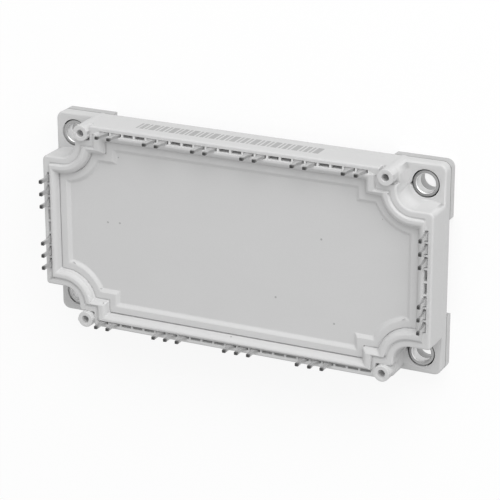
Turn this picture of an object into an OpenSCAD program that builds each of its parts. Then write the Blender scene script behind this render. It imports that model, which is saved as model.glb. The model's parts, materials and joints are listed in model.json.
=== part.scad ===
// Low-profile solder-pin power module: six transistors with their diodes on three
// ceramic substrates, in a moulded frame on a flat metal base plate.
// Origin at the middle of the base plate's underside, +X along the module, pins up.

/* [Base plate] */
// Length of the base plate
plate_l = 122; // [121:0.5:130]
// Width of the base plate
plate_w = 62; // [61:0.5:70]
// Thickness of the base plate
plate_t = 3; // [2:0.5:5]
// Radius of the base plate's corners
plate_r = 2.3; // [1:0.1:4]
// Length of a mounting ear along the long side
ear_l = 16.8; // [13:0.2:20]
// Length of a mounting ear along the short side
ear_w = 16.7; // [13:0.2:20]
// How far the plate's edge lies back between the ears
ear_step = 1.5; // [0.5:0.1:2]
// Distance from the plate's edges to a mounting hole's centre
hole_inset = 6; // [5.8:0.1:6.4]
// Diameter of the mounting holes
hole_d = 5.5; // [4.5:0.1:6]

/* [Mounting bushes] */
// Outer diameter of a mounting bush
bush_d = 7.5; // [7:0.1:8]
// Height of a mounting bush
bush_h = 3.3; // [2.5:0.1:3.5]
// Chamfer at the mouth of a bush
bush_chamfer = 0.25; // [0.1:0.05:0.4]
// Gap between a bush and the flange around it
bush_gap = 0.35; // [0.1:0.05:0.4]

/* [Housing frame] */
// Set-back of the walls from the plate's edge
wall_inset = 0.05; // [0:0.05:0.3]
// Height of the corner flanges above the plate
flange_h = 3.5; // [3:0.1:5]
// Height of the rim above the plate
rim_h = 12.5; // [11:0.5:16]
// Height of the inner ridge above the rim
ridge_h = 0.5; // [0.2:0.1:1]
// Radius of the recess round each mounting hole
recess_r = 5; // [4.6:0.1:5.2]
// Corner radius of the walls at the rear recesses
rear_edge_r = 1.5; // [0.9:0.1:2]
// Corner radius of the walls at the front recesses
front_edge_r = 0.9; // [0.9:0.1:2]
// Radius of the outer top edges of the rim and the flanges
rim_r = 0.6; // [0.3:0.1:0.8]
// Width of the rim from a recess to the middle of the groove
groove_from_recess = 2.15; // [1.8:0.05:2.4]
// Width of the groove along the recesses
groove_w = 0.8; // [0.4:0.1:1]
// Width of the groove's floor outside the ridge's foot
groove_floor = 0.1; // [0.05:0.05:0.3]
// Depth of the groove below the rim
groove_depth = 0.35; // [0.2:0.05:0.6]
// Width of the rim from a post's pocket to the groove, along the module
post_rim_x = 1.1; // [0.8:0.1:1.5]
// Width of the rim from a post's pocket to the groove, across the module
post_rim_y = 1.9; // [1.6:0.1:2.2]
// Width of the rim from the pin rows to the ridge's inner bevel
ridge_w = 1.3; // [1.2:0.05:1.5]
// Width of the ridge from the groove to its inner bevel, round the recesses
ridge_arc_w = 1.65; // [1.2:0.05:1.8]
// Width of the ridge beside a post, along the module
ridge_post_x = 1.9; // [1.5:0.1:2.2]
// Width of the ridge beside a post, across the module
ridge_post_y = 0.6; // [0.5:0.05:0.9]
// Width of the ridge's inner bevel
bevel_w = 1.25; // [0.6:0.05:1.5]
// Height of the ridge's inner bevel
bevel_h = 1.1; // [0.4:0.1:1.5]
// Height of the terminal ledge above the plate
ledge_h = 3; // [2:0.1:4]
// Width of the terminal ledge inside the long pin rows
ledge_w = 5.8; // [5:0.1:6.4]
// Width of the terminal ledge inside the short pin rows
end_ledge_w = 6.5; // [5.5:0.1:7]
// Wall between the pin rows and the cavity
inner_wall = 3.5; // [3:0.1:4]
// Wall between a recess and the cavity
recess_wall = 2; // [1.5:0.1:2.2]
// Width of the adhesive bead under the frame
bead_w = 0.8; // [0.5:0.1:1]
// Height of the adhesive bead
bead_h = 0.5; // [0.3:0.1:0.6]

/* [PCB posts] */
// Diameter of a post
post_d = 4.8; // [4.4:0.1:5]
// Height of the posts above the plate
post_h = 14; // [13.5:0.5:18]
// Diameter of the screw hole in a post
post_hole_d = 2.2; // [1.8:0.1:2.6]
// Depth of the screw hole in a post
post_hole_depth = 9; // [6:0.5:11]
// Distance from the long wall's face to a post's axis
post_inset = 2.2; // [2.1:0.05:2.5]
// Distance along the module from a mounting hole to a post's axis
post_from_hole = 7.75; // [7.5:0.05:8]
// Depth of the square pocket round a post below the rim
pocket_depth = 2.5; // [1:0.5:5]
// Radius of the wall's corner beside a post
post_edge_r = 2.2; // [1:0.1:2.4]

/* [Terminals] */
// Pitch of the terminal slots
pitch = 3.81; // [3.6:0.01:3.9]
// Length of a slot
slot_l = 3.2; // [2.8:0.1:3.3]
// Width of a slot
slot_w = 1; // [0.9:0.05:1.2]
// Distance from the short wall's face to the side pin rows
row_inset_x = 1.895; // [1.7:0.005:2]
// Distance from the long wall's face to the long pin rows
row_inset_y = 1.74; // [1.7:0.005:2]
// Width of a terminal in its slot
pin_w = 2.5; // [2:0.1:2.7]
// Thickness of a terminal
pin_t = 0.8; // [0.6:0.05:0.85]
// Width of a terminal's tip
tip_w = 1.1; // [0.8:0.1:1.5]
// Height of the tips above the rim
tip_h = 5; // [4:0.5:8]
// Height of the shoulders' taper above the rim
shoulder_h = 2.1; // [1:0.1:3]
// Chamfer of the tips
tip_chamfer = 0.2; // [0.05:0.05:0.3]

/* [Lid] */
// Gap along the straight sides of the lid
lid_gap = 0.3; // [0.1:0.05:0.5]
// Gap where the lid fits round the recesses and posts
lid_fit = 0.06; // [0.02:0.01:0.2]
// Depth of the lid's border below the rim
lid_depth = 1.6; // [1.2:0.1:2.5]
// Thickness of the lid
lid_t = 1.5; // [1:0.1:2]
// Width of the lid's flat border
border_w = 2.1; // [1.5:0.1:3]
// Width of the bevel from the border to the panel
panel_bevel_w = 1; // [0.4:0.1:1.5]
// Depth of the panel below the border
panel_depth = 0.9; // [0.3:0.1:1.2]
// Width of the shelf that carries the lid
shelf_w = 1; // [0.6:0.1:1.3]
// Thickness of the shelf
shelf_t = 1.2; // [0.8:0.1:1.5]
// Width of a snap hook
hook_w = 8; // [5:0.5:12]
// Thickness of a snap hook
hook_t = 1; // [0.7:0.1:1.2]
// Reach of a hook's barb under the shelf
barb = 0.55; // [0.3:0.05:0.7]

/* [Substrates] */
// Gap between substrates and round them
sub_gap = 1.5; // [1:0.1:2]
// Thickness of the solder under a substrate
solder_t = 0.2; // [0.1:0.05:0.3]
// Thickness of a copper layer
copper_t = 0.3; // [0.2:0.05:0.5]
// Thickness of the ceramic
ceramic_t = 0.63; // [0.38:0.05:1]
// Margin of bare ceramic round the copper
ceramic_margin = 0.8; // [0.5:0.1:1.2]
// Gap between copper tracks
track_gap = 0.8; // [0.5:0.1:1.2]
// Width of the signal tracks
signal_w = 3.2; // [2.8:0.1:3.6]
// Side of a transistor chip
igbt_s = 9.4; // [8:0.1:10]
// Side of a diode chip
diode_s = 6.4; // [5:0.1:7]
// Thickness of a chip
chip_t = 0.2; // [0.1:0.05:0.3]
// Thickness of the solder under a chip
chip_solder_t = 0.1; // [0.05:0.05:0.2]
// Diameter of a bond wire
wire_d = 0.3; // [0.2:0.05:0.4]
// Rise of a bond wire's arch
wire_rise = 0.9; // [0.5:0.1:1.2]
// Height of the silicone gel above the plate
gel_h = 5.8; // [5.5:0.1:6.2]

/* [Hidden] */
$fn = 48;
e = 0.5;              // overshoot of cutting tools
clear = 0.1;          // running clearance of pockets and windows
recess_ledge = 1;     // width of the terminal ledge round the recesses
bead_inset = 0.7;     // from the frame's inner edge to the adhesive
foot_back = 0.5;      // from the end of a terminal's foot to the ledge's edge
key_angle = 188;      // direction of the small notch in a bush's seat
key_w = 1.8;          // width of that notch
key_depth = 0.75;     // depth of that notch
key_root = 0.4;       // how far the notch's sides start inside the seat
barb_nose = 0.3;      // height of a barb's blunt nose
far = plate_l;        // longer than anything it has to cut

// Colours
nickel = [0.66, 0.66, 0.66];
plastic = [0.86, 0.86, 0.85];
steel = [0.55, 0.55, 0.55];
tin = [0.60, 0.60, 0.58];
copper = [0.80, 0.50, 0.33];
ceramic = [0.93, 0.93, 0.90];
silicon = [0.25, 0.27, 0.32];
aluminium = [0.80, 0.80, 0.82];

// Places in plan, one corner at a time: the other three are mirrored
plate_x = plate_l / 2;
plate_y = plate_w / 2;
hole_x = plate_x - hole_inset;
hole_y = plate_y - hole_inset;
wall_x = plate_x - wall_inset;
wall_y = plate_y - wall_inset;
row_x = wall_x - row_inset_x;
row_y = wall_y - row_inset_y;
post_x = hole_x - post_from_hole;
post_y = wall_y - post_inset;
pocket_s = post_d - clear;
notch_y = hole_y - recess_r;

// Heights
rim_z = plate_t + rim_h;
ridge_z = rim_z + ridge_h;
ledge_z = plate_t + ledge_h;
post_z = plate_t + post_h;
tip_z = rim_z + tip_h;
lid_z = rim_z - lid_depth;
panel_z = lid_z - panel_depth;
shelf_z = lid_z - lid_t;
gel_z = plate_t + gel_h;

// A field is the area inside a contour that follows the module's edge:
// [half length, half width, radius round the holes, post step x, post step y]
groove_line = [far, far, recess_r + groove_from_recess,
               post_x - pocket_s / 2 - post_rim_x, post_y - pocket_s / 2 - post_rim_y];
ridge_inner = [row_x - ridge_w, row_y - ridge_w, groove_line[2] + ridge_arc_w,
               groove_line[3] - ridge_post_x, groove_line[4] - ridge_post_y];
function shrink(c, g) = [c[0] - g, c[1] - g, c[2] + g, c[3] - g, c[4] - g];
opening = shrink(ridge_inner, bevel_w);
lid_edge = [opening[0] - lid_gap, opening[1] - lid_gap, opening[2] + lid_fit,
            opening[3] - lid_fit, opening[4] - lid_fit];
shelf_edge = shrink(opening, shelf_w);
border_edge = shrink(lid_edge, border_w);
cavity = [row_x - inner_wall, row_y - inner_wall, recess_r + recess_wall, far, far];
pit = [row_x - end_ledge_w, row_y - ledge_w, recess_r + recess_wall + recess_ledge, far, far];
bead_outer = shrink(pit, -bead_w - bead_inset);
bead_inner = shrink(bead_outer, bead_w);

// Terminal rows: slot counts follow from the room between the posts and recesses
post_room = post_x - pocket_s / 2 - slot_l / 2;
front_count = 2 * floor(post_room / pitch) + 1;
rear_count = 2 * floor(post_room / pitch + 0.5);
side_count = 2 * floor((hole_y - groove_line[2] + groove_w / 2 - slot_l / 2) / pitch + 0.5);
gate_step = (rear_count - 2) / 5;
phase_step = floor((front_count + 1) / 4);
gate_mids = [for (i = [-2.5 : 2.5]) sign(i) * floor(abs(i) * gate_step)];
gate_places = [for (mid = gate_mids) [mid - 0.5, mid + 0.5]];
phase_places = [for (i = [0, phase_step, 2 * phase_step]) [for (k = [0 : 2]) i + k - phase_step]];
thermistor_places = [for (k = [0, 1]) k - (front_count - 1) / 2];
plus_places = [for (k = [2, 1, 0]) (side_count - 1) / 2 - k];
minus_places = -plus_places;
function room(count, places) = [for (p = places) if (abs(p) <= (count - 1) / 2) p * pitch];
rear_pins = room(rear_count, [for (pair = gate_places) for (p = pair) p]);
front_pins = room(front_count, concat(thermistor_places, phase_places[0], phase_places[1],
                                      phase_places[2]));
side_pins = room(side_count, concat(minus_places, plus_places));
foot_y = row_y - pit[1] - foot_back;
foot_x = row_x - pit[0] - foot_back;

// Substrates
sub_room = hole_x - recess_r - recess_wall - sub_gap;
sub_l = (2 * sub_room - 2 * sub_gap) / 3;
sub_w = 2 * (pit[1] - sub_gap);
sub_x = [-sub_l - sub_gap, 0, sub_l + sub_gap];
back_z = plate_t + solder_t;
ceramic_z = back_z + copper_t;
track_z = ceramic_z + ceramic_t;
pad_z = track_z + copper_t;
chip_z = pad_z + chip_solder_t;
chip_top = chip_z + chip_t;
half_l = sub_l / 2 - ceramic_margin;
half_w = sub_w / 2 - ceramic_margin;
turn = [1, 1, -1];    // the right-hand substrate is laid the other way round
split = track_gap / 2;
rail_y = 1.2;         // half width of the minus rail
arm_w = 1;            // width of the arms beside the diodes
minus_w = 2.4;        // width of the minus arm beside the transistors
island_y = half_w - signal_w - track_gap;
sense_x = half_l - arm_w - track_gap;
plus_x = sense_x - arm_w - track_gap;
phase_x = -half_l + minus_w + track_gap;
edge = 0.6;           // least distance from a chip to the edge of its island
igbt_x = phase_x + edge + igbt_s / 2;
diode_x = plus_x - edge - diode_s / 2;
chip_y = (rail_y + track_gap + island_y) / 2;
land_y = half_w - signal_w / 2;
function at(i, x, y, z) = [sub_x[i] + turn[i] * x, y, z];
function pair_mid(i, j) = (gate_places[2 * i + j][0] + gate_places[2 * i + j][1]) / 2 * pitch
    - sub_x[i];
function signal_cuts(i) = [-half_l - split, pair_mid(i, 0),
                           (pair_mid(i, 0) + pair_mid(i, 1)) / 2, pair_mid(i, 1),
                           half_l + split];
thermistor_in = 1;    // from the middle of the front signal tracks inwards
thermistor_x = (thermistor_places[0] + thermistor_places[1]) / 2 * pitch - sub_x[0];
thermistor_y = thermistor_in - land_y;
thermistor_l = 2;
thermistor_w = 1.2;
thermistor_h = 0.8;

module corners() {
    for (sx = [0, 1], sy = [0, 1])
        mirror([sx, 0, 0]) mirror([0, sy, 0]) children();
}

// What rounding the corner at x, y takes away
module corner_round(x, y, r) {
    translate([x - r, y - r]) difference() {
        square(r + e);
        circle(r = r);
    }
}

module rounded_plate(x, y, r, h) {
    linear_extrude(h) difference() {
        square([2 * x, 2 * y], center = true);
        corners() corner_round(x, y, r);
    }
}

// Area inside a contour
module field(c) {
    difference() {
        square([2 * c[0], 2 * c[1]], center = true);
        corners() {
            translate([hole_x, hole_y]) circle(r = c[2], $fn = 96);
            translate([hole_x, hole_y - c[2]]) square(far);
            translate([hole_x - c[2], hole_y]) square(far);
            translate([c[3], c[4]]) square(far);
        }
    }
}

// Block with four sloping sides, given as [x low, x high, y low, y high] at two heights
module sloped_block(a, za, b, zb) {
    intersection() {
        translate([0, far, 0]) rotate([90, 0, 0]) linear_extrude(2 * far)
            polygon([[a[0], za], [a[1], za], [b[1], zb], [b[0], zb]]);
        translate([-far, 0, 0]) rotate([90, 0, 90]) linear_extrude(2 * far)
            polygon([[a[2], za], [a[3], za], [b[3], zb], [b[2], zb]]);
    }
}

// Solid inside a contour whose sides slope: shrunk by ga at za and by gb at zb
module sloped_field(c, ga, za, gb, zb) {
    slope = (gb - ga) / (zb - za);
    a = shrink(c, ga);
    b = shrink(c, gb);
    low = shrink(c, ga - slope * e);
    high = shrink(c, gb + slope * e);
    difference() {
        sloped_block([-a[0], a[0], -a[1], a[1]], za, [-b[0], b[0], -b[1], b[1]], zb);
        corners() {
            translate([hole_x, hole_y, za - e])
                cylinder(r1 = low[2], r2 = high[2], h = zb - za + 2 * e, $fn = 96);
            sloped_block([hole_x, far, hole_y - low[2], far], za - e,
                         [hole_x, far, hole_y - high[2], far], zb + e);
            sloped_block([low[3], far, low[4], far], za - e,
                         [high[3], far, high[4], far], zb + e);
        }
    }
}

module slab(z0, z1) {
    translate([0, 0, z0]) linear_extrude(z1 - z0) children();
}

module box(x0, x1, y0, y1, z0, z1) {
    translate([x0, y0, z0]) cube([x1 - x0, y1 - y0, z1 - z0]);
}

// Puts a row's own frame (x along the row, y outwards) on one side of the module
module on_rear() translate([0, row_y, 0]) children();
module on_front() rotate([0, 0, 180]) translate([0, row_y, 0]) children();
module on_right() rotate([0, 0, -90]) translate([0, row_x, 0]) children();
module on_left() rotate([0, 0, 90]) translate([0, row_x, 0]) children();

// ---- base plate and bushes ----
module base_plate() {
    color(nickel) difference() {
        rounded_plate(plate_x, plate_y, plate_r, plate_t);
        corners() {
            box(-e, plate_x - ear_l, plate_y - ear_step, far, -e, plate_t + e);
            box(plate_x - ear_step, far, -e, plate_y - ear_w, -e, plate_t + e);
            translate([hole_x, hole_y, -e]) cylinder(d = hole_d, h = plate_t + 2 * e);
        }
    }
}

module bush(sx, sy) {
    color(steel) translate([sx * hole_x, sy * hole_y, plate_t]) difference() {
        cylinder(d = bush_d, h = bush_h);
        translate([0, 0, -e]) cylinder(d = hole_d, h = bush_h + 2 * e);
        translate([0, 0, bush_h - bush_chamfer])
            cylinder(d1 = hole_d, d2 = hole_d + 4 * bush_chamfer, h = 2 * bush_chamfer);
    }
}

// ---- housing frame ----
module wall_plan() {
    difference() {
        square([2 * wall_x, 2 * wall_y], center = true);
        corners() {
            translate([hole_x, hole_y]) circle(r = recess_r, $fn = 96);
            translate([hole_x, notch_y]) square(far);
            translate([hole_x - recess_r, hole_y]) square(far);
            corner_round(hole_x - recess_r, wall_y, post_edge_r);
        }
        for (sx = [0, 1]) mirror([sx, 0]) {
            corner_round(wall_x, notch_y, rear_edge_r);
            mirror([0, 1]) corner_round(wall_x, notch_y, front_edge_r);
        }
    }
}

// What a rounded top edge takes off a wall whose face is at x = 0
module rim_profile() {
    corner_round(0, 0, rim_r);
}

// Rounds a top edge at z along x, where y points out of the wall
module round_line(x0, x1, z) {
    translate([x0, 0, z]) rotate([90, 0, 90]) linear_extrude(x1 - x0) rim_profile();
}

// Rounds the top edge at z along y from x0, round the corner at x, y, and back to the middle
module round_corner(x0, x, y, r, z) {
    translate([0, y, 0]) round_line(x0, x - r, z);
    translate([x - r, y - r, z])
        rotate_extrude(angle = 90) translate([r, 0]) rim_profile();
    translate([x, 0, 0]) rotate([0, 0, -90]) round_line(r - y, 0, z);
}

module flange() {
    difference() {
        translate([0, 0, plate_t]) rounded_plate(plate_x, plate_y, plate_r, flange_h);
        corners() round_corner(0, plate_x, plate_y, plate_r, plate_t + flange_h);
    }
}

module rim_rounding() {
    pocket_x = post_x - pocket_s / 2;
    pocket_y = post_y - pocket_s / 2;
    for (sx = [0, 1]) mirror([sx, 0, 0]) {
        round_corner(hole_x, wall_x, notch_y, rear_edge_r, rim_z);
        mirror([0, 1, 0]) round_corner(hole_x, wall_x, notch_y, front_edge_r, rim_z);
    }
    corners() {
        translate([hole_x, hole_y, rim_z]) rotate([0, 0, 180])
            rotate_extrude(angle = 90) translate([recess_r, 0]) mirror([1, 0]) rim_profile();
        translate([hole_x - recess_r, 0, 0]) rotate([0, 0, -90]) round_line(-pocket_y, -hole_y, rim_z);
        translate([0, wall_y, 0]) round_line(0, pocket_x, rim_z);
    }
}

// The ridge stands inside the pin rows and inside a shallow groove round each recess
module inside_rows(gap, z0, z1) {
    length = 2 * (row_x - gap) - slot_w;
    width = 2 * (row_y - gap) - slot_w;
    intersection() {
        slab(z0, z1) square([length, width], center = true);
        children();
    }
}

module groove_cut() {
    low = rim_z - groove_depth;
    top = ridge_z + e;
    spread = groove_w / 2 / groove_depth * (top - low);
    inside_rows(clear, low, top)
        sloped_field(groove_line, -groove_floor, low, -groove_floor - spread, top);
}

module ridge() {
    root = rim_z - 2 * groove_depth;
    inside_rows(0, root, ridge_z)
        sloped_field(groove_line, -groove_w / 4, root, groove_w / 2, ridge_z);
}

module slot_row(count, pins, foot) {
    for (k = [0 : count - 1])
        translate([(k - (count - 1) / 2) * pitch, 0, 0])
            box(-slot_l / 2, slot_l / 2, -slot_w / 2, slot_w / 2, ledge_z, ridge_z + e);
    for (x = pins)
        translate([x, 0, 0])
            box(-slot_l / 2, slot_l / 2, -foot - clear, 0, ledge_z, ledge_z + pin_t + clear);
}

module hook_places() {
    for (x = [-1, 1] * row_x / 3) {
        translate([x, shelf_edge[1], 0]) children();
        translate([x, -shelf_edge[1], 0]) rotate([0, 0, 180]) children();
    }
    translate([shelf_edge[0], 0, 0]) rotate([0, 0, -90]) children();
    translate([-shelf_edge[0], 0, 0]) rotate([0, 0, 90]) children();
}

module hook_pocket() {
    box(-hook_w / 2 - clear, hook_w / 2 + clear, -e, barb + clear,
        shelf_z - shelf_t - hook_t - 2 * clear, shelf_z - shelf_t);
}

module bush_seat() {
    seat_r = bush_d / 2 + bush_gap;
    translate([hole_x, hole_y, plate_t - e]) {
        cylinder(r = seat_r, h = flange_h + 2 * e);
        rotate([0, 0, key_angle]) linear_extrude(flange_h + 2 * e)
            polygon([[seat_r - key_root, -key_w / 2], [seat_r + key_depth, 0],
                     [seat_r - key_root, key_w / 2]]);
    }
}

module posts() {
    corners() translate([post_x, post_y, plate_t]) cylinder(d = post_d, h = post_h);
}

module housing_frame() {
    color(plastic) difference() {
        union() {
            difference() {
                union() {
                    flange();
                    slab(plate_t, rim_z) wall_plan();
                }
                corners() translate([post_x, post_y, rim_z - pocket_depth])
                    box(-pocket_s / 2, far, -pocket_s / 2, far, 0, far);
                rim_rounding();
                groove_cut();
            }
            ridge();
            posts();
        }
        sloped_field(ridge_inner, bevel_w, ridge_z - bevel_h, -bevel_w / bevel_h * e,
                     ridge_z + e);
        slab(shelf_z, ridge_z - bevel_h + clear) field(opening);
        slab(shelf_z - shelf_t - clear, shelf_z + clear) field(shelf_edge);
        slab(ledge_z, shelf_z - shelf_t) field(cavity);
        slab(plate_t - e, ledge_z + clear) field(pit);
        slab(plate_t - e, plate_t + bead_h) difference() {
            field(bead_outer);
            field(bead_inner);
        }
        on_rear() slot_row(rear_count, rear_pins, foot_y);
        on_front() slot_row(front_count, -front_pins, foot_y);
        on_right() slot_row(side_count, side_pins, foot_x);
        on_left() slot_row(side_count, side_pins, foot_x);
        corners() bush_seat();
        corners() translate([post_x, post_y, post_z - post_hole_depth])
            cylinder(d = post_hole_d, h = post_hole_depth + e);
        hook_places() hook_pocket();
    }
}

module adhesive_bead() {
    color("whitesmoke") slab(plate_t, plate_t + bead_h) difference() {
        field(bead_outer);
        field(bead_inner);
    }
}

// ---- lid ----
module hook() {
    low = shelf_z - shelf_t - hook_t - clear;
    grip = shelf_z - shelf_t - clear;
    rotate([90, 0, 90]) translate([0, 0, -hook_w / 2]) linear_extrude(hook_w)
        polygon([[-clear, shelf_z + clear], [-clear, grip], [barb, grip], [barb, grip - barb_nose],
                 [-clear, low], [-clear - hook_t, low], [-clear - hook_t, shelf_z + clear]]);
}

module lid() {
    under = shrink(shelf_edge, 2 * clear + hook_t);
    color(plastic) {
        difference() {
            union() {
                slab(shelf_z, lid_z) field(lid_edge);
                slab(panel_z - lid_t, shelf_z + clear) field(under);
            }
            sloped_field(border_edge, panel_bevel_w, panel_z, -panel_bevel_w / panel_depth * e,
                         lid_z + e);
        }
        hook_places() hook();
    }
}

// ---- terminals ----
module pin(foot) {
    rotate([90, 0, 0]) translate([0, 0, -pin_t / 2]) linear_extrude(pin_t)
        polygon([[-pin_w / 2, ledge_z], [pin_w / 2, ledge_z], [pin_w / 2, rim_z],
                 [tip_w / 2, rim_z + shoulder_h], [tip_w / 2, tip_z - tip_chamfer],
                 [tip_w / 2 - tip_chamfer, tip_z], [tip_chamfer - tip_w / 2, tip_z],
                 [-tip_w / 2, tip_z - tip_chamfer], [-tip_w / 2, rim_z + shoulder_h],
                 [-pin_w / 2, rim_z]]);
    box(-pin_w / 2, pin_w / 2, -foot, 0, ledge_z, ledge_z + pin_t);
}

module pins(places, foot) {
    color(tin) for (x = places) translate([x, 0, 0]) pin(foot);
}

module gate_pins(i) on_rear() pins(room(rear_count, gate_places[i]), foot_y);
module phase_pins(i) on_front() pins(-room(front_count, phase_places[i]), foot_y);
module thermistor_pins() on_front() pins(-room(front_count, thermistor_places), foot_y);
module plus_pins_left() on_left() pins(room(side_count, plus_places), foot_x);
module minus_pins_left() on_left() pins(room(side_count, minus_places), foot_x);
module plus_pins_right() on_right() pins(room(side_count, minus_places), foot_x);
module minus_pins_right() on_right() pins(room(side_count, plus_places), foot_x);

// ---- substrates and chips ----
module plate_solder() {
    color("silver") for (x = sub_x) translate([x, 0, 0])
        box(-half_l, half_l, -half_w, half_w, plate_t, back_z);
}

module back_copper(i) {
    color(copper) translate([sub_x[i], 0, 0])
        box(-half_l, half_l, -half_w, half_w, back_z, ceramic_z);
}

module ceramic(i) {
    color(ceramic) translate([sub_x[i], 0, 0])
        box(-sub_l / 2, sub_l / 2, -sub_w / 2, sub_w / 2, ceramic_z, track_z);
}

module tracks(i) {
    signals = signal_cuts(i);
    color(copper) translate([sub_x[i], 0, 0]) {
        for (k = [0 : 3])
            box(signals[k] + split, signals[k + 1] - split, island_y + track_gap, half_w,
                track_z, pad_z);
        mirror([turn[i] < 0 ? 1 : 0, 0, 0]) {
            slab(track_z, pad_z) island_plan();
            box(-half_l, thermistor_x - split, -half_w, -island_y - track_gap, track_z, pad_z);
            box(thermistor_x + split, -split, -half_w, -island_y - track_gap, track_z, pad_z);
        }
    }
}

module area(x0, x1, y0, y1) {
    translate([x0, y0]) square([x1 - x0, y1 - y0]);
}

// Copper under and between the chips: plus island, minus rail, phase island, gate arm
module island_plan() {
    area(-half_l, plus_x, rail_y + track_gap, island_y);
    union() {
        area(-half_l, sense_x, -rail_y, rail_y);
        area(-half_l, -half_l + minus_w, -island_y, 0);
        area(sense_x - arm_w, sense_x, 0, island_y);
    }
    union() {
        area(phase_x, sense_x, -island_y, -rail_y - track_gap);
        area(split, sense_x, -half_w, -island_y + e);
    }
    area(half_l - arm_w, half_l, -island_y, half_w - signal_w + e);
}

module chip(x, y, s, z0, z1) {
    box(x - s / 2, x + s / 2, y - s / 2, y + s / 2, z0, z1);
}

module chip_solder() {
    color("silver") for (i = [0 : 2], y = [-chip_y, chip_y]) {
        chip(sub_x[i] + turn[i] * igbt_x, y, igbt_s, pad_z, chip_z);
        chip(sub_x[i] + turn[i] * diode_x, y, diode_s, pad_z, chip_z);
    }
}

module igbt_chips(i) {
    color(silicon) for (y = [-chip_y, chip_y])
        chip(sub_x[i] + turn[i] * igbt_x, y, igbt_s, chip_z, chip_top);
}

module diode_chips(i) {
    color(silicon) for (y = [-chip_y, chip_y])
        chip(sub_x[i] + turn[i] * diode_x, y, diode_s, chip_z, chip_top);
}

// The thermistor bridges the two small tracks at the front of the first substrate
module thermistor() {
    color("dimgray") translate([sub_x[0] + thermistor_x, thermistor_y, 0])
        box(-thermistor_l / 2, thermistor_l / 2, -thermistor_w / 2, thermistor_w / 2,
            pad_z, pad_z + thermistor_h);
}

// ---- bond wires ----
// An arch between two pads, with a flat stitch at each end
module wire(p, q) {
    run = norm([q[0] - p[0], q[1] - p[1]]);
    chord = norm(q - p);
    bend = (chord * chord / 4 + wire_rise * wire_rise) / (2 * wire_rise);
    half = asin(chord / 2 / bend);
    translate(p) rotate([0, 0, atan2(q[1] - p[1], q[0] - p[0])]) {
        translate([0, 0, wire_d / 2]) rotate([90, 0, 0])
            rotate([0, 0, atan2(q[2] - p[2], run)])
                translate([chord / 2, wire_rise - bend, 0]) rotate([0, 0, 90 - half])
                    rotate_extrude(angle = 2 * half) translate([bend, 0])
                        circle(d = wire_d, $fn = 8);
        box(-stitch_l, stitch_l / 2, -wire_d / 2, wire_d / 2, 0, stitch_t);
        translate([run, 0, q[2] - p[2]])
            box(-stitch_l / 2, stitch_l, -wire_d / 2, wire_d / 2, 0, stitch_t);
    }
}

// Room in the gel for one wire
module wire_room(p, q) {
    run = norm([q[0] - p[0], q[1] - p[1]]);
    top = max(p[2], q[2]) + wire_rise + wire_d + clear;
    translate([p[0], p[1], 0]) rotate([0, 0, atan2(q[1] - p[1], q[0] - p[0])])
        box(-stitch_l - clear, run + stitch_l + clear, -wire_d / 2 - clear, wire_d / 2 + clear,
            min(p[2], q[2]), top);
}

foot_z = ledge_z + pin_t;
foot_bond = 1;        // from the end of a terminal's foot to its wire
stitch = 1.3;         // distance between neighbouring wires on one pad
stitch_l = 0.6;       // length of a stitch beyond the wire's end
stitch_t = 0.6 * wire_d;
outer_bond = 0.7;     // from the middle of a signal track out to a terminal's wire
inner_bond = 0.9;     // from the middle of a signal track in to a chip's wire
island_bond = 1;      // from an island's edge to the nearest wire of a row
pad_edge = 1.2;       // from the edge of a chip or island to its wires
gate_x = 3;           // from a transistor's middle to its gate wire
emitter_x = 1;        // from a transistor's middle to its emitter wire
arm_edge = 0.7;       // from the edge of a narrow arm to its wire
tap_run = 5.4;        // reach along the module of the minus rail's tap
bond_y = row_y - foot_y + foot_bond;
bond_x = row_x - foot_x + foot_bond;
outer_y = land_y + outer_bond;
inner_y = land_y - inner_bond;
land_x = sub_x[2] + half_l - pad_edge;
rear_wire_list = [for (x = rear_pins) [[x, bond_y, foot_z], [x, outer_y, pad_z]]];
phase_wire_list = [for (i = [0 : 2]) for (x = room(front_count, phase_places[i]))
                   let (local = (x - sub_x[i]) * turn[i])
                   [[x, -bond_y, foot_z],
                    at(i, min(max(local, split + island_bond), sense_x - island_bond), -outer_y,
                       pad_z)]];
front_wire_list = concat(phase_wire_list,
                         [for (x = room(front_count, thermistor_places))
                          [[x, -bond_y, foot_z], [x, -outer_y, pad_z]]]);
right_wire_list = [for (y = side_pins) for (s = [-stitch / 2, stitch / 2])
                   [[bond_x, y + s, foot_z], [land_x, y + s, pad_z]]];
left_wire_list = [for (y = side_pins) for (s = [-stitch / 2, stitch / 2])
                  [[-bond_x, y + s, foot_z], [-land_x, y + s, pad_z]]];
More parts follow.
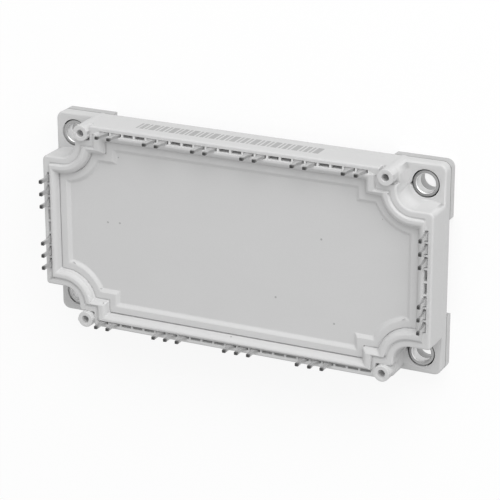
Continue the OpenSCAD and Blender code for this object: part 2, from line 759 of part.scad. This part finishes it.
// Links between substrates: three on the plus islands, two on the minus rails
first_link_y = rail_y + track_gap + island_bond;
link_edge = 1.5;      // from the edge of an island to the link's far end
link_places = concat([for (k = [0 : 2]) [plus_x - pad_edge, first_link_y + k * stitch]],
                     [for (k = [-0.5, 0.5]) [sense_x - pad_edge, k * stitch]]);
link_wire_list = concat(
    [for (p = link_places) [at(0, p[0], p[1], pad_z), at(1, -half_l + link_edge, p[1], pad_z)]],
    [for (p = link_places) [at(1, p[0], p[1], pad_z), at(2, p[0], p[1], pad_z)]]);
igbt_edge = igbt_s / 2 - pad_edge;
diode_edge = diode_s / 2 - pad_edge;
function chip_wire_list(i) = concat(
    // transistors to their diodes
    [for (y = [-chip_y, chip_y]) for (k = [-1.5 : 1.5])
     [at(i, igbt_x + igbt_edge, y + k * stitch, chip_top),
      at(i, diode_x - diode_edge, y + k * stitch, chip_top)]],
    // upper diode to the phase island
    [for (k = [-1 : 1])
     [at(i, diode_x + k * stitch, chip_y - diode_edge, chip_top),
      at(i, diode_x + k * stitch, -rail_y - track_gap - pad_edge, pad_z)]],
    // lower diode to the minus rail
    [for (k = [-0.5 : 1.5])
     [at(i, diode_x + k * stitch, diode_edge - chip_y, chip_top),
      at(i, diode_x + k * stitch, 0, pad_z)]],
    // gate and emitter of the upper transistor
    [for (x = [-gate_x, emitter_x])
     [at(i, igbt_x + x, chip_y + igbt_edge, chip_top), at(i, igbt_x + x, inner_y, pad_z)]],
    // gate of the lower transistor, and the minus rail's tap
    [[at(i, igbt_x + gate_x, -chip_y - igbt_edge, chip_top),
      at(i, half_l - arm_edge, -island_y + pad_edge, pad_z)],
     [at(i, sense_x - arm_w / 2, island_y - arm_edge, pad_z),
      at(i, sense_x - tap_run, inner_y, pad_z)]]);

module wires(list) {
    color(aluminium) for (w = list) wire(w[0], w[1]);
}

// ---- silicone gel ----
module silicone_gel() {
    color("lightcyan") difference() {
        union() {
            slab(plate_t, ledge_z) field(pit);
            slab(ledge_z, gel_z) field(cavity);
        }
        for (x = sub_x) translate([x, 0, 0])
            box(-sub_l / 2, sub_l / 2, -sub_w / 2, sub_w / 2, plate_t - e, pad_z);
        for (i = [0 : 2], y = [-chip_y, chip_y]) {
            chip(sub_x[i] + turn[i] * igbt_x, y, igbt_s, pad_z - clear, chip_top);
            chip(sub_x[i] + turn[i] * diode_x, y, diode_s, pad_z - clear, chip_top);
        }
        translate([sub_x[0] + thermistor_x, thermistor_y, 0])
            box(-thermistor_l / 2, thermistor_l / 2, -thermistor_w / 2, thermistor_w / 2,
                pad_z - clear, pad_z + thermistor_h);
        on_rear() foot_rooms(rear_pins, foot_y);
        on_front() foot_rooms(-front_pins, foot_y);
        on_right() foot_rooms(side_pins, foot_x);
        on_left() foot_rooms(side_pins, foot_x);
        for (list = [rear_wire_list, front_wire_list, left_wire_list, right_wire_list,
                     link_wire_list, chip_wire_list(0), chip_wire_list(1), chip_wire_list(2)])
            for (w = list) wire_room(w[0], w[1]);
    }
}

module foot_rooms(pins, foot) {
    for (x = pins) translate([x, 0, 0])
        box(-pin_w / 2, pin_w / 2, -foot, 0, ledge_z - clear, foot_z);
}

base_plate();
housing_frame();
lid();
adhesive_bead();
bush(-1, -1);  // bush_front_left
bush(1, -1);  // bush_front_right
bush(-1, 1);  // bush_rear_left
bush(1, 1);  // bush_rear_right
gate_pins(0);  // gate_pins_1
gate_pins(1);  // gate_pins_2
gate_pins(2);  // gate_pins_3
gate_pins(3);  // gate_pins_4
gate_pins(4);  // gate_pins_5
gate_pins(5);  // gate_pins_6
thermistor_pins();
phase_pins(0);  // phase_pins_u
phase_pins(1);  // phase_pins_v
phase_pins(2);  // phase_pins_w
plus_pins_left();
minus_pins_left();
plus_pins_right();
minus_pins_right();
plate_solder();
back_copper(0);  // back_copper_u
back_copper(1);  // back_copper_v
back_copper(2);  // back_copper_w
ceramic(0);  // ceramic_u
ceramic(1);  // ceramic_v
ceramic(2);  // ceramic_w
tracks(0);  // tracks_u
tracks(1);  // tracks_v
tracks(2);  // tracks_w
chip_solder();
igbt_chips(0);  // igbt_chips_u
igbt_chips(1);  // igbt_chips_v
igbt_chips(2);  // igbt_chips_w
diode_chips(0);  // diode_chips_u
diode_chips(1);  // diode_chips_v
diode_chips(2);  // diode_chips_w
thermistor();
wires(chip_wire_list(0));  // chip_wires_u
wires(chip_wire_list(1));  // chip_wires_v
wires(chip_wire_list(2));  // chip_wires_w
wires(rear_wire_list);  // rear_wires
wires(front_wire_list);  // front_wires
wires(left_wire_list);  // left_wires
wires(right_wire_list);  // right_wires
wires(link_wire_list);  // link_wires
silicone_gel();
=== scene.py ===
import bpy
import bmesh
import json
from math import radians
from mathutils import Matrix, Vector


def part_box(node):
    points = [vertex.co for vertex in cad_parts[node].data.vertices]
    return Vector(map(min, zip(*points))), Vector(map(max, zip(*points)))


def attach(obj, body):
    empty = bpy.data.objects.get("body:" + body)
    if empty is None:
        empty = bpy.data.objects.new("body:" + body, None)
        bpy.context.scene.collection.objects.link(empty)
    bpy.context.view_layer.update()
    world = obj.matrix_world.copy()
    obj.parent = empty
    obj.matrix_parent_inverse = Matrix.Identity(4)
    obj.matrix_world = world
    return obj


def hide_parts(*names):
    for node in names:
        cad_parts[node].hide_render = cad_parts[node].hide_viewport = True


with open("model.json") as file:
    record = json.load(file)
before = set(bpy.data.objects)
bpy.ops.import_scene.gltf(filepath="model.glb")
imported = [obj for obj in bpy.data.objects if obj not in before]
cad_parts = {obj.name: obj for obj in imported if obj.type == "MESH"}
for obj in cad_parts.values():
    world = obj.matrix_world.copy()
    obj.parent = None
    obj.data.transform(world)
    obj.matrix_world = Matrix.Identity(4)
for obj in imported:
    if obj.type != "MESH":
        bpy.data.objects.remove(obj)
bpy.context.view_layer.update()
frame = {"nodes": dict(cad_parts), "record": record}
mm = 0.001
nodes = frame["nodes"]
mounts = {mount["name"]: mount for mount in frame["record"]["mounts"]}
print("frame loaded:", len(nodes), "nodes")

# places that several pieces share
plateHigh = Vector(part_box("base_plate")[1])
pinHigh = Vector(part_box("gate_pins_1")[1])
sideHigh = Vector(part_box("plus_pins_right")[1])
halfPin = 0.4 * mm
heights = {"plateTop": plateHigh.z, "flangeTop": 6.5 * mm, "rim": 15.5 * mm, "ridge": 16 * mm,
           "pinTip": pinHigh.z}
rows = {"x": sideHigh.x - halfPin, "y": pinHigh.y - halfPin}
holeDims = mounts["mounting_holes"]["dims"]
holeX = holeDims["spacing_x_mm"] / 2 * mm
holeY = holeDims["spacing_y_mm"] / 2 * mm
holeRadius = holeDims["hole_r_mm"] * mm


# how far a point lies from the nearest mounting hole's axis
def holeDistance(point):
    return Vector((abs(point.x) - holeX, abs(point.y) - holeY)).length


# makes an empty shader group and hands back its tree, inputs and outputs
def newGroup(name, inputs, outputs):
    tree = bpy.data.node_groups.new(name, "ShaderNodeTree")
    for label, kind, value in inputs:
        socket = tree.interface.new_socket(label, in_out="INPUT", socket_type=kind)
        socket.default_value = value
    for label, kind in outputs:
        tree.interface.new_socket(label, in_out="OUTPUT", socket_type=kind)
    return tree, tree.nodes.new("NodeGroupInput").outputs, tree.nodes.new("NodeGroupOutput").inputs


def addNode(tree, kind, **settings):
    node = tree.nodes.new(kind)
    for key, value in settings.items():
        if hasattr(node, key):
            setattr(node, key, value)
        else:
            node.inputs[key].default_value = value
    return node


def mathNode(tree, operation, a, b=0.5):
    node = addNode(tree, "ShaderNodeMath", operation=operation)
    for i, value in enumerate((a, b)):
        if isinstance(value, bpy.types.NodeSocket):
            tree.links.new(value, node.inputs[i])
        else:
            node.inputs[i].default_value = value
    return node.outputs[0]


def scaleVector(tree, vector, factor):
    node = addNode(tree, "ShaderNodeVectorMath", operation="SCALE")
    tree.links.new(vector, node.inputs[0])
    tree.links.new(factor, node.inputs["Scale"])
    return node.outputs[0]


def noiseNode(tree, vector, scale, **settings):
    node = addNode(tree, "ShaderNodeTexNoise", **settings)
    tree.links.new(vector, node.inputs["Vector"])
    if isinstance(scale, bpy.types.NodeSocket):
        tree.links.new(scale, node.inputs["Scale"])
    else:
        node.inputs["Scale"].default_value = scale
    return node.outputs["Fac"]


textureOutputs = [("Color", "NodeSocketColor"), ("Roughness", "NodeSocketFloat"),
                  ("Height", "NodeSocketFloat")]
grainLook = {"flow": (0.6, 1, 1), "fleck": 0.06, "roughness": 0.42, "roughSpan": 0.16,
             "speckScale": 220.0, "speckPick": 0.75, "speckRadius": 0.07}


# fine spark-eroded mould texture, with faint flow clouds drawn out along the module
def makeMouldGrain():
    tree, given, made = newGroup(
        "mouldGrain",
        [("Color", "NodeSocketColor", (0.6, 0.6, 0.6, 1)), ("Grain Scale", "NodeSocketFloat", 2600),
         ("Cloud Scale", "NodeSocketFloat", 45), ("Cloud Amount", "NodeSocketFloat", 0.05),
         ("Speck Amount", "NodeSocketFloat", 0.0)],
        textureOutputs)
    coords = addNode(tree, "ShaderNodeTexCoord").outputs["Object"]
    flow = addNode(tree, "ShaderNodeVectorMath", operation="MULTIPLY")
    tree.links.new(coords, flow.inputs[0])
    flow.inputs[1].default_value = grainLook["flow"]
    grain = noiseNode(tree, coords, given["Grain Scale"], Detail=3.0, Roughness=0.6)
    cloud = noiseNode(tree, flow.outputs[0], given["Cloud Scale"], Detail=4.0, Roughness=0.55,
                      Distortion=0.6)
    uneven = mathNode(tree, "SUBTRACT", cloud, 0.5)
    shift = mathNode(tree, "MULTIPLY", uneven, given["Cloud Amount"])
    fleck = mathNode(tree, "MULTIPLY", mathNode(tree, "SUBTRACT", grain, 0.5), grainLook["fleck"])
    cells = addNode(tree, "ShaderNodeTexVoronoi", Scale=grainLook["speckScale"])
    tree.links.new(coords, cells.inputs["Vector"])
    pick = addNode(tree, "ShaderNodeSeparateColor")
    tree.links.new(cells.outputs["Color"], pick.inputs[0])
    chosen = mathNode(tree, "GREATER_THAN", pick.outputs[0], grainLook["speckPick"])
    middle = mathNode(tree, "LESS_THAN", cells.outputs["Distance"], grainLook["speckRadius"])
    inSpeck = mathNode(tree, "MULTIPLY", chosen, middle)
    speck = mathNode(tree, "MULTIPLY", inSpeck, given["Speck Amount"])
    base = mathNode(tree, "SUBTRACT", 1.0, speck)
    level = mathNode(tree, "ADD", mathNode(tree, "ADD", shift, fleck), base)
    tree.links.new(scaleVector(tree, given["Color"], level), made["Color"])
    rough = mathNode(tree, "MULTIPLY", grain, grainLook["roughSpan"])
    tree.links.new(mathNode(tree, "ADD", rough, grainLook["roughness"]), made["Roughness"])
    tree.links.new(grain, made["Height"])
    return tree


lineLook = {"blotchScale": 180.0, "level": 1.08, "streak": 0.2, "roughSpan": 0.18}


# drawn or ground metal: fine lines along one axis, with blotches of dull oxide
def makeMetalLines():
    tree, given, made = newGroup(
        "metalLines",
        [("Color", "NodeSocketColor", (0.5, 0.5, 0.5, 1)),
         ("Stretch", "NodeSocketVector", (1, 1, 1)),
         ("Line Scale", "NodeSocketFloat", 900), ("Dullness", "NodeSocketFloat", 0.2),
         ("Polish", "NodeSocketFloat", 0.2)],
        textureOutputs)
    coords = addNode(tree, "ShaderNodeTexCoord").outputs["Object"]
    drawn = addNode(tree, "ShaderNodeVectorMath", operation="MULTIPLY")
    tree.links.new(coords, drawn.inputs[0])
    tree.links.new(given["Stretch"], drawn.inputs[1])
    lines = noiseNode(tree, drawn.outputs[0], given["Line Scale"], Detail=2.0, Roughness=0.5)
    blotch = noiseNode(tree, coords, lineLook["blotchScale"], Detail=4.0)
    dull = mathNode(tree, "MULTIPLY", blotch, given["Dullness"])
    streak = mathNode(tree, "MULTIPLY", mathNode(tree, "SUBTRACT", lines, 0.5), lineLook["streak"])
    level = mathNode(tree, "ADD", mathNode(tree, "SUBTRACT", lineLook["level"], dull), streak)
    tree.links.new(scaleVector(tree, given["Color"], level), made["Color"])
    rough = mathNode(tree, "ADD", mathNode(tree, "MULTIPLY", lines, lineLook["roughSpan"]), dull)
    tree.links.new(mathNode(tree, "ADD", rough, given["Polish"]), made["Roughness"])
    tree.links.new(lines, made["Height"])
    return tree


# darkens a colour towards one height: used for painted shadow along the seam where the housing sits
# on the plate, and for darker pin ends
def makeHeightShade():
    tree, given, made = newGroup(
        "heightShade",
        [("Color", "NodeSocketColor", (0.5, 0.5, 0.5, 1)), ("Height", "NodeSocketFloat", 0),
         ("Reach", "NodeSocketFloat", 0.001), ("Tone", "NodeSocketFloat", 0.5)],
        [("Color", "NodeSocketColor")])
    coords = addNode(tree, "ShaderNodeTexCoord").outputs["Object"]
    split = addNode(tree, "ShaderNodeSeparateXYZ")
    tree.links.new(coords, split.inputs[0])
    above = mathNode(tree, "SUBTRACT", split.outputs["Z"], given["Height"])
    away = mathNode(tree, "ABSOLUTE", above)
    share = mathNode(tree, "MINIMUM", mathNode(tree, "DIVIDE", away, given["Reach"]), 1.0)
    lift = mathNode(tree, "MULTIPLY", mathNode(tree, "SUBTRACT", 1.0, given["Tone"]), share)
    tree.links.new(scaleVector(tree, given["Color"], mathNode(tree, "ADD", lift, given["Tone"])),
                   made["Color"])
    return tree


mouldGrain = makeMouldGrain()
metalLines = makeMetalLines()
heightShade = makeHeightShade()


# one material: a group for colour, roughness and relief, and a darker height if it has one
def newMaterial(name, group, bump, groupValues, shaderValues, shade=None):
    material = bpy.data.materials.new(name)
    material.use_nodes = True
    tree = material.node_tree
    shader = tree.nodes["Principled BSDF"]
    effect = addNode(tree, "ShaderNodeGroup", node_tree=group, **groupValues)
    for label, value in shaderValues.items():
        shader.inputs[label].default_value = value
    colour = effect.outputs["Color"]
    if shade:
        shading = addNode(tree, "ShaderNodeGroup", node_tree=heightShade, **shade)
        tree.links.new(colour, shading.inputs["Color"])
        colour = shading.outputs["Color"]
    tree.links.new(colour, shader.inputs["Base Color"])
    tree.links.new(effect.outputs["Roughness"], shader.inputs["Roughness"])
    relief = addNode(tree, "ShaderNodeBump", Strength=bump[0], Distance=bump[1])
    tree.links.new(effect.outputs["Height"], relief.inputs["Height"])
    tree.links.new(relief.outputs["Normal"], shader.inputs["Normal"])
    return material


def grey(level):
    return (level, level, level, 1)


# painted shadow: a dark band on the housing and the plate around the plate's top edge, standing in
# for the shade in the gap between them
seamShadowPaint = {"Height": heights["plateTop"], "Reach": 0.3 * mm, "Tone": 0.55}
# the pins' colour turns darker over the last 1.2 mm towards their tips
pinTipDarkening = {"Height": heights["pinTip"], "Reach": 1.2 * mm, "Tone": 0.12}
# how deep and how strong the fine relief is
reliefs = {"mould": 0.02 * mm, "metal": 0.01 * mm, "metalStrength": 0.08}
mouldLooks = {
    "housingPlastic": {"colour": grey(0.60), "grain": 2600, "cloud": 0.05, "bump": 0.12,
                       "shine": 0.35, "specks": 0.35, "shade": seamShadowPaint},
    "siliconeGel": {"colour": (0.82, 0.86, 0.88, 1), "grain": 60, "cloud": 0.02, "bump": 0.05,
                    "shine": 0.5},
    "printInk": {"colour": grey(0.38), "grain": 1500, "cloud": 0.3, "bump": 0.05, "shine": 0.3},
}
metalLooks = {
    "nickelPlating": {"tone": 0.56, "stretch": (0.1, 1, 1), "scale": 1200, "dull": 0.2,
                      "polish": 0.42, "shade": seamShadowPaint},
    "bushSteel": {"tone": 0.38, "stretch": (1, 1, 6), "scale": 700, "dull": 0.2},
    # painted light: the bore's steel is much lighter than the rest of the bush
    "bushBoreLitPaint": {"tone": 0.8, "stretch": (1, 1, 4), "scale": 900, "dull": 0.1, "polish": 0.3},
    "pinTin": {"tone": 0.6, "stretch": (1, 1, 0.15), "scale": 2200, "dull": 0.3, "polish": 0.32,
               "shade": pinTipDarkening},
    "bareCopper": {"colour": (0.72, 0.33, 0.18, 1), "scale": 800, "dull": 0.2},
    "bondWire": {"tone": 0.6, "scale": 2500, "dull": 0.1},
    "solderMetal": {"tone": 0.42, "scale": 900, "dull": 0.2},
    "chipSilicon": {"tone": 0.06, "scale": 400, "dull": 0.2, "metal": 0},
    "thermistorCeramic": {"tone": 0.05, "scale": 900, "dull": 0.2, "metal": 0},
    "substrateCeramic": {"tone": 0.75, "scale": 900, "dull": 0.1, "metal": 0},
}
finishes = {}
for name, look in mouldLooks.items():
    finishes[name] = newMaterial(
        name, mouldGrain, (look["bump"], reliefs["mould"]),
        {"Color": look["colour"], "Grain Scale": look["grain"], "Cloud Amount": look["cloud"],
         "Speck Amount": look.get("specks", 0)},
        {"Specular IOR Level": look["shine"]}, look.get("shade"))
for name, look in metalLooks.items():
    finishes[name] = newMaterial(
        name, metalLines, (reliefs["metalStrength"], reliefs["metal"]),
        {"Color": look.get("colour", grey(look.get("tone", 0.5))),
         "Stretch": look.get("stretch", (1, 1, 1)), "Line Scale": look["scale"],
         "Dullness": look["dull"], "Polish": look.get("polish", 0.2)},
        {"Metallic": look.get("metal", 1)}, look.get("shade"))
print("materials:", len(finishes))


# shares of a neighbour's width that rounding may take; edges in the same line don't count
bevelRoom = {"most": 1.0, "sameLine": 0.94, "leastSlant": 0.05, "besideSharp": 0.45,
             "besideFlat": 0.9}
meshCare = {"weld": 0.004 * mm, "flat": radians(0.5), "sharp": radians(35), "facesDown": -0.5}


# how far an edge can be rounded before it runs into its neighbours
def roomBeside(edge, along, sharp):
    room = bevelRoom["most"]
    for vert in edge.verts:
        for other in vert.link_edges:
            if other is edge or not set(other.link_faces) & set(edge.link_faces):
                continue
            side = other.other_vert(vert).co - vert.co
            straight = abs(side.normalized().dot(along))
            if other in sharp and straight > bevelRoom["sameLine"]:
                continue
            width = side.length * max((1 - straight ** 2) ** 0.5, bevelRoom["leastSlant"])
            share = bevelRoom["besideSharp"] if other in sharp else bevelRoom["besideFlat"]
            room = min(room, width * share)
    return room


# a copy of a CAD node whose sharp edges are rounded, each as far as its rule says
def softened(node, edgeRule, steps=3):
    piece = nodes[node].copy()
    piece.data = nodes[node].data.copy()
    piece.name = node + "_finished"
    bpy.context.scene.collection.objects.link(piece)
    cleaned = bmesh.new()
    cleaned.from_mesh(piece.data)
    bmesh.ops.remove_doubles(cleaned, verts=cleaned.verts, dist=meshCare["weld"])
    bmesh.ops.dissolve_limit(cleaned, angle_limit=meshCare["flat"], verts=cleaned.verts,
                             edges=cleaned.edges)
    bmesh.ops.connect_verts_concave(cleaned, faces=cleaned.faces)
    for face in cleaned.faces:
        if face.normal.z < meshCare["facesDown"]:
            for edge in face.edges:
                edge.seam = True
    weights = cleaned.edges.layers.float.new("bevel_weight_edge")
    sharp = {edge for edge in cleaned.edges
             if len(edge.link_faces) == 2 and edge.calc_face_angle(0) > meshCare["sharp"]}
    for edge in sharp:
        a, b = [vert.co for vert in edge.verts]
        along = (b - a).normalized()
        edge[weights] = min(edgeRule((a + b) / 2, along), roomBeside(edge, along, sharp))
    widest = max(edge[weights] for edge in sharp)
    for edge in sharp:
        edge[weights] /= widest
    for face in cleaned.faces:
        face.smooth = True
    cleaned.to_mesh(piece.data)
    cleaned.free()
    bevel = piece.modifiers.new("brokenEdges", "BEVEL")
    bevel.width = widest
    bevel.segments = steps
    bevel.limit_method = "WEIGHT"
    bevel.use_clamp_overlap = False
    joined = piece.modifiers.new("joinedFlats", "DECIMATE")
    joined.decimate_type = "DISSOLVE"
    joined.angle_limit = meshCare["flat"]
    joined.delimit = {"SEAM"}
    flatter = piece.modifiers.new("flatFaces", "WEIGHTED_NORMAL")
    flatter.weight = 100
    flatter.keep_sharp = True
    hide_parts(node)
    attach(piece, "root")
    return piece


# the same width for every edge of a piece
def evenly(width):
    return lambda middle, along: width


def finish(piece, material):
    piece.data.materials.clear()
    piece.data.materials.append(finishes[material])


innerFinishes = {
    "adhesive_bead": "siliconeGel", "silicone_gel": "siliconeGel", "plate_solder": "solderMetal",
    "chip_solder": "solderMetal", "thermistor": "thermistorCeramic",
}
prefixFinishes = {
    "back_copper": "bareCopper", "tracks": "bareCopper", "ceramic": "substrateCeramic",
    "igbt_chips": "chipSilicon", "diode_chips": "chipSilicon",
}
for node, cadObject in nodes.items():
    material = innerFinishes.get(node)
    for prefix, name in prefixFinishes.items():
        if node.startswith(prefix):
            material = name
    if "wires" in node:
        material = "bondWire"
    if material:
        finish(cadObject, material)

frameEdges = {"seam": 0.25 * mm, "seat": 0.1 * mm, "ridge": 0.35 * mm, "step": 0.4 * mm,
              "post": 0.25 * mm, "corner": 0.3 * mm}
# where each width holds: past x or y an edge lies on the outside, and above top it shows
frameZones = {"x": plateHigh.x - 1.5 * mm, "y": plateHigh.y - 1 * mm, "top": 13.5 * mm,
              "near": 0.06 * mm, "slots": 0.7 * mm, "recess": 9.5 * mm, "seat": 4.95 * mm,
              "underRim": 0.7 * mm, "rising": 0.3, "upright": 0.9}


# hidden edges and the slots' edges stay as they are
def frameRule(middle, along):
    near = frameZones["near"]
    outer = abs(middle.x) > frameZones["x"] or abs(middle.y) > frameZones["y"]
    besideRows = min(abs(abs(middle.x) - rows["x"]), abs(abs(middle.y) - rows["y"]))
    inRecess = holeDistance(middle) < frameZones["recess"]
    if middle.z < heights["plateTop"] + near:
        return frameEdges["seam"] if outer else 0
    if besideRows < frameZones["slots"] or not (outer or middle.z > frameZones["top"] or inRecess):
        return 0
    if abs(middle.z - heights["flangeTop"]) < near:
        return frameEdges["seat"] if holeDistance(middle) < frameZones["seat"] else 0
    if middle.z > heights["ridge"] + near:
        return frameEdges["post"]
    if abs(middle.z - heights["ridge"]) < near:
        return frameEdges["ridge"]
    if middle.z > heights["rim"] - frameZones["underRim"]:
        return frameEdges["step"] if abs(along.z) > frameZones["rising"] else 0
    return frameEdges["corner"] if abs(along.z) > frameZones["upright"] else 0


housing = softened("housing_frame", frameRule)
finish(housing, "housingPlastic")

lidHigh = Vector(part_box("lid")[1])
lidEdges = {"straight": 0.2 * mm, "panel": 0.3 * mm, "depth": 1.2 * mm, "near": 0.05 * mm}


def lidRule(middle, along):
    if middle.z < lidHigh.z - lidEdges["depth"]:
        return 0
    if min(lidHigh.x - abs(middle.x), lidHigh.y - abs(middle.y)) < lidEdges["near"]:
        return lidEdges["straight"]
    return lidEdges["panel"]


lid = softened("lid", lidRule)
finish(lid, "housingPlastic")

plainEdges = {"plate": 0.1 * mm, "bush": 0.1 * mm, "pin": 0.06 * mm}
plate = softened("base_plate", evenly(plainEdges["plate"]))
finish(plate, "nickelPlating")

boreZone = {"margin": 0.35 * mm, "level": 0.9}


# the bush's bore gets a much lighter copy of the bush steel, painted light standing in for the
# bright view down the hole; its ground rim keeps the duller steel
def paintLitBore(bush):
    bush.data.materials.append(finishes["bushBoreLitPaint"])
    for face in bush.data.polygons:
        inBore = holeDistance(face.center) < holeRadius + boreZone["margin"]
        if inBore and abs(face.normal.z) < boreZone["level"]:
            face.material_index = 1


for node in nodes:
    if node.startswith("bush_"):
        bush = softened(node, evenly(plainEdges["bush"]))
        finish(bush, "bushSteel")
        paintLitBore(bush)
    if "_pins_" in node or node == "thermistor_pins":
        pins = softened(node, evenly(plainEdges["pin"]), steps=2)
        finish(pins, "pinTin")

bars = {"from": -32 * mm, "to": 24 * mm, "low": 6.8 * mm, "high": 11.6 * mm,
        "wall": plateHigh.y - 0.05 * mm, "widths": (0.6, 1.2, 0.6, 1.8), "gap": 0.55 * mm,
        "proud": 0.012 * mm, "sunk": 0.05 * mm}


# a plain row of printed bars on the rear wall, each a thin closed film let into the wall
def printBars():
    film = bmesh.new()
    low, high = bars["low"], bars["high"]
    outer, inner = bars["wall"] + bars["proud"], bars["wall"] - bars["sunk"]
    x = bars["from"]
    count = 0
    while x < bars["to"]:
        width = bars["widths"][count % len(bars["widths"])] * mm
        front = [film.verts.new((x + side * width, outer, z))
                 for side, z in ((1, low), (0, low), (0, high), (1, high))]
        back = [film.verts.new((vert.co.x, inner, vert.co.z)) for vert in front]
        film.faces.new(front)
        film.faces.new(back[::-1])
        for i in range(4):
            film.faces.new((front[i - 1], back[i - 1], back[i], front[i]))
        x += width + bars["gap"]
        count += 1
    bmesh.ops.recalc_face_normals(film, faces=film.faces)
    mesh = bpy.data.meshes.new("printed_bars")
    film.to_mesh(mesh)
    film.free()
    piece = bpy.data.objects.new("printed_bars", mesh)
    bpy.context.scene.collection.objects.link(piece)
    finish(piece, "printInk")
    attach(piece, "root")


printBars()
print("pieces finished")

floorLook = {"size": 4.0, "tone": 0.5, "seenTone": 1.0, "shadowShare": 0.16, "drop": 0.01 * mm}


# 1 for rays that come straight from the camera, a mirror or glass
def directRays(tree):
    path = tree.nodes.new("ShaderNodeLightPath")
    seen = path.outputs["Is Camera Ray"]
    direct = mathNode(tree, "MAXIMUM", seen, path.outputs["Is Transmission Ray"])
    return mathNode(tree, "MAXIMUM", direct, path.outputs["Is Glossy Ray"])


def mixShaders(tree, share, first, second):
    mix = tree.nodes.new("ShaderNodeMixShader")
    tree.links.new(share, mix.inputs[0])
    tree.links.new(first.outputs[0], mix.inputs[1])
    tree.links.new(second.outputs[0], mix.inputs[2])
    return mix


# the floor looks white and keeps a share of the shadow on it; from below it is clear
def makeFloor():
    size = floorLook["size"]
    corners = [(-size, -size, 0), (size, -size, 0), (size, size, 0), (-size, size, 0)]
    mesh = bpy.data.meshes.new("floor")
    mesh.from_pydata(corners, [], [(0, 1, 2, 3)])
    floor = bpy.data.objects.new("floor", mesh)
    bpy.context.scene.collection.objects.link(floor)
    floor.location.z = -floorLook["drop"]
    material = bpy.data.materials.new("paleFloor")
    material.use_nodes = True
    tree = material.node_tree
    tree.nodes.clear()
    seen = directRays(tree)
    matt = addNode(tree, "ShaderNodeBsdfDiffuse", Color=grey(floorLook["tone"]))
    paleMatt = addNode(tree, "ShaderNodeBsdfDiffuse", Color=grey(floorLook["seenTone"]))
    white = addNode(tree, "ShaderNodeEmission", Color=grey(1.0), Strength=1.0)
    seenShare = mathNode(tree, "MULTIPLY", seen, 1 - floorLook["shadowShare"])
    shaded = mixShaders(tree, seen, matt, paleMatt)
    above = mixShaders(tree, seenShare, shaded, white)
    below = tree.nodes.new("ShaderNodeNewGeometry").outputs["Backfacing"]
    whole = mixShaders(tree, below, above, tree.nodes.new("ShaderNodeBsdfTransparent"))
    out = tree.nodes.new("ShaderNodeOutputMaterial")
    tree.links.new(whole.outputs[0], out.inputs["Surface"])
    floor.data.materials.append(material)


# soft even light, seen as plain white
def makeWorld(strength):
    world = bpy.data.worlds.new("studio")
    bpy.context.scene.world = world
    world.use_nodes = True
    tree = world.node_tree
    tree.nodes.clear()
    soft = addNode(tree, "ShaderNodeBackground", Color=grey(1.0), Strength=strength)
    seen = addNode(tree, "ShaderNodeBackground", Color=grey(1.0), Strength=1.0)
    out = tree.nodes.new("ShaderNodeOutputWorld")
    tree.links.new(mixShaders(tree, directRays(tree), soft, seen).outputs[0], out.inputs[0])


# a round soft lamp that faces the part
def addLamp(name, place, size, power):
    lamp = bpy.data.lights.new(name, "AREA")
    lamp.shape = "DISK"
    lamp.size = size
    lamp.energy = power
    holder = bpy.data.objects.new(name, lamp)
    holder.location = place
    holder.rotation_euler = (-Vector(place)).to_track_quat("-Z", "Y").to_euler()
    bpy.context.scene.collection.objects.link(holder)


worldLight = 0.68
makeFloor()
makeWorld(worldLight)
lamps = {
    "keyLamp": {"place": (0.2, 1.1, 0.6), "size": 0.9, "power": 6.0},
    "sideLamp": {"place": (0.95, 0.85, 0.35), "size": 1.1, "power": 7.9},
}
for name, lamp in lamps.items():
    addLamp(name, lamp["place"], lamp["size"], lamp["power"])

view = {"place": (259.57, 216.45, 543.0), "turn": (-20.261, 25.620, -0.124), "lens": 159.32,
        "film": 36}
cameraData = bpy.data.cameras.new("camera")
cameraData.lens = view["lens"]
cameraData.sensor_width = view["film"]
camera = bpy.data.objects.new("camera", cameraData)
camera.location = Vector(view["place"]) * mm
camera.rotation_euler = [radians(angle) for angle in view["turn"]]
bpy.context.scene.collection.objects.link(camera)
bpy.context.scene.camera = camera
bpy.context.scene.view_settings.view_transform = "Standard"
print("floor, light and camera set")
